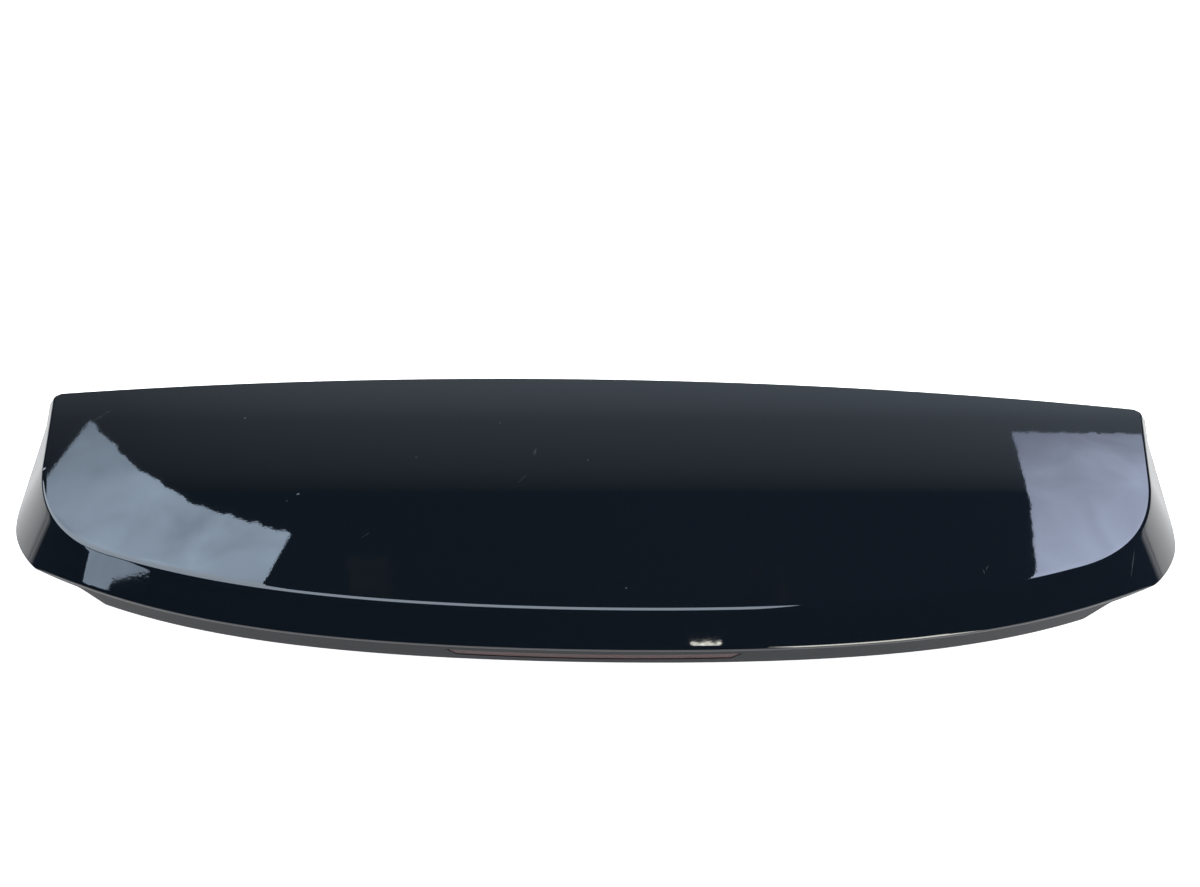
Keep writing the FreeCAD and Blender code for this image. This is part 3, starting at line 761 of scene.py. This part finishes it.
def even(outline, strength):
    """The same strength all over an outline, in the form that glow takes."""
    return (outline[0], strength), (outline[1], strength)


def ragged(outline, sides, step, size):
    """The outline with its first sides broken into short, slightly uneven pieces."""
    made = []
    for side, ((x0, y0), (x1, y1)) in enumerate(zip(outline, outline[1:] + outline[:1])):
        length = math.hypot(x1 - x0, y1 - y0)
        count = max(int(length / step), 1) if side < sides else 1
        for i in range(count):
            n = len(made)
            wobble = size * math.sin(2.3 * n) * math.sin(0.7 * n + 1) / length if i else 0
            x = x0 + (x1 - x0) * i / count + wobble * (y1 - y0)
            y = y0 + (y1 - y0) * i / count - wobble * (x1 - x0)
            made.append((x, y))
    return made


def panel_card(name, pixels, tint, light, uneven):
    """A light whose reflection in the panel fills an outline of pixels."""
    ends = [(panel_bounce(*pixel), strength) for pixel, strength in light]
    flat_card(name, [panel_bounce(*pixel) for pixel in pixels], glow(name, tint, ends, uneven))


def skin_card(name, pixels, tint, strength, uneven, grain):
    """A light whose reflection in the skin, wherever the pixels fall on it, fills their outline."""
    outline = []
    for px, py in pixels:
        spot, _ = skin_hit(px, py)
        normal = sum((skin_hit(px + aside, py)[1] for aside in NORMAL_SPREAD), Vector()).normalized()
        outline.append(spot + pixel_ray(px, py).reflect(normal) * SKIN_CARD_AWAY)
    flat_card(name, outline, glow(name, tint, even(outline, strength), uneven, grain))


def far_card():
    """The pale far band: a card that brightens with the rows of pixels that show it, and to the right."""
    verts = [panel_bounce(px, py, FAR_HEIGHT) for py, _ in FAR_ROWS for px in FAR_COLUMNS]
    faces = grid_faces(len(FAR_ROWS), len(FAR_COLUMNS))
    made = card("far_card", verts, faces, glow("far_card", FAR_TINT))
    power = made.data.attributes.new("power", "FLOAT", "POINT")
    lean = []
    for px in FAR_COLUMNS:
        aside = px / (PHOTO_WIDTH / 2) - 1
        lean.append(1 + FAR_LEAN * aside + FAR_CURVE * max(-FAR_LIMIT, min(aside, FAR_LIMIT)) ** 3)
    power.data.foreach_set("value", [strength * share for _, strength in FAR_ROWS for share in lean])


left_outline = ragged(LEFT_PATCH, sides=3, step=7, size=2.2)
right_outline = ragged(RIGHT_PATCH, sides=3, step=7, size=1.0)
glint_outline = ragged(GLINT, sides=4, step=4, size=1.0)
panel_card("left_card", left_outline, LEFT_TINT, LEFT_LIGHT, uneven=0.2)
panel_card("right_card", right_outline, RIGHT_TINT, RIGHT_LIGHT, uneven=0.18)
far_card()
for i, ghost in enumerate(GHOSTS):
    ghost_light = ((ghost[0], GHOST_NEAR), (ghost[2], GHOST_FAR))
    ghost_outline = ragged(ghost, sides=4, step=8, size=3)
    panel_card("ghost_card_%d" % i, ghost_outline, GHOST_TINT, ghost_light, uneven=0.5)
top = [Vector((x, y, TOP_HEIGHT)) for x, y in TOP_CARD]
flat_card("top_card", top, glow("top_card", TOP_TINT, even(top, TOP_STRENGTH), uneven=0.04))
rear = [Vector((x, REAR_CARD_Y, z)) for x, z in REAR_CARD]
flat_card("rear_card", rear, glow("rear_card", REAR_TINT, even(rear, REAR_STRENGTH)))
skin_card("band_card", BAND_PATCH, LEFT_TINT, BAND_STRENGTH, uneven=0.1, grain=2.2)
skin_card("glint_card", glint_outline, GLINT_TINT, GLINT_STRENGTH, uneven=0.95, grain=70.0)

for x, y in FILL_PLACES:
    fill = bpy.data.objects.new("fill", bpy.data.lights.new("fill", "AREA"))
    fill.data.size = FILL_SIZE
    fill.data.energy = FILL_ENERGY
    fill.location = (x, y, FILL_HEIGHT)
    fill.visible_glossy = False
    scene.collection.objects.link(fill)


def floor_material():
    """Pale ground that keeps shadows and is lifted towards white where it is looked at or mirrored."""
    look = Shader("floor")
    tone = look.mix(look.noise(3, 2), FLOOR_DARK, FLOOR_LIGHT)
    rays = look.node("ShaderNodeLightPath", {}).outputs
    seen = look.calculate("MAXIMUM", rays["Is Camera Ray"], rays["Is Glossy Ray"])
    seen = look.calculate("MAXIMUM", seen, rays["Is Transmission Ray"])
    look.put(Base_Color=tone, Roughness=0.9, Specular_IOR_Level=0.1)
    look.put(Emission_Color=(1, 1, 1), Emission_Strength=look.calculate("MULTIPLY", seen, FLOOR_GLOW))
    return look.material


floor_corners = [(FLOOR_HALF * x, FLOOR_HALF * y, 0) for x, y in ((-1, -1), (1, -1), (1, 1), (-1, 1))]
floor = make_object("floor", floor_corners, [(0, 1, 2, 3)])
floor.location.z = cad_bounds[0].z - FLOOR_GAP
floor.data.materials.append(floor_material())


def studio():
    """A world that is white to the camera, and dark above the horizon for the paint to mirror."""
    world = bpy.data.worlds.new("studio")
    world.use_nodes = True
    tree = world.node_tree
    tree.nodes.clear()
    out = tree.nodes.new("ShaderNodeOutputWorld")
    white = tree.nodes.new("ShaderNodeBackground")
    white.inputs["Color"].default_value = (1, 1, 1, 1)
    room = tree.nodes.new("ShaderNodeBackground")
    place = tree.nodes.new("ShaderNodeTexCoord")
    split = tree.nodes.new("ShaderNodeSeparateXYZ")
    level = tree.nodes.new("ShaderNodeValToRGB")
    for element, (position, colour) in zip(level.color_ramp.elements, WORLD_LEVELS):
        element.position = position
        element.color = (*colour, 1)
    path = tree.nodes.new("ShaderNodeLightPath")
    swap = tree.nodes.new("ShaderNodeMixShader")
    tree.links.new(place.outputs["Generated"], split.inputs[0])
    tree.links.new(split.outputs["Z"], level.inputs["Fac"])
    tree.links.new(level.outputs["Color"], room.inputs["Color"])
    tree.links.new(path.outputs["Is Camera Ray"], swap.inputs["Fac"])
    tree.links.new(room.outputs[0], swap.inputs[1])
    tree.links.new(white.outputs[0], swap.inputs[2])
    tree.links.new(swap.outputs[0], out.inputs["Surface"])
    return world


scene.world = studio()
scene.view_settings.view_transform = "Standard"
